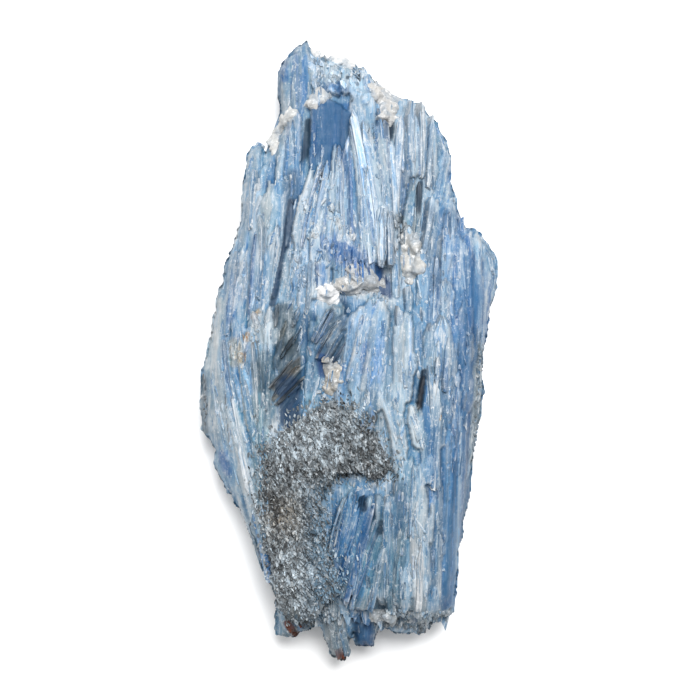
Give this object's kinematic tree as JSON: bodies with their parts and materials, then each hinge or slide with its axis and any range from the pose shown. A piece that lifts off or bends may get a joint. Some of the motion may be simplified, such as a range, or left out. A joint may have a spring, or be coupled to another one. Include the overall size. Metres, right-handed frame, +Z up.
{
  "type": "kyanite blade cluster",
  "caption": "Natural cluster of intergrown blue kyanite blades with a patch of mica schist and knots of white quartz, lying flat on its broken back.",
  "frame": {"origin": "middle of the specimen's outline, on the plane that its broken back rests on", "axes": "+Y along the blades towards the pointed crown, +Z up out of the face that shows, +X to the right seen with the crown away from the viewer"},
  "size_m": [0.0594, 0.1246, 0.0304],
  "materials": {
    "kyanite": "pearly to glassy blue mineral, streaked along the blades",
    "mica": "glittering grey flakes",
    "quartz": "granular, greasy white to grey-beige mineral"
  },
  "bodies": {
    "root": {"kyanite_blades": "kyanite", "mica_schist": "mica", "quartz_crown": "quartz", "quartz_ridge": "quartz", "quartz_shoulder": "quartz", "quartz_notch": "quartz", "quartz_white_knot": "quartz", "quartz_grey_knot": "quartz", "quartz_pocket": "quartz", "quartz_hollow": "quartz", "quartz_heel": "quartz"}
  },
  "joints": []
}
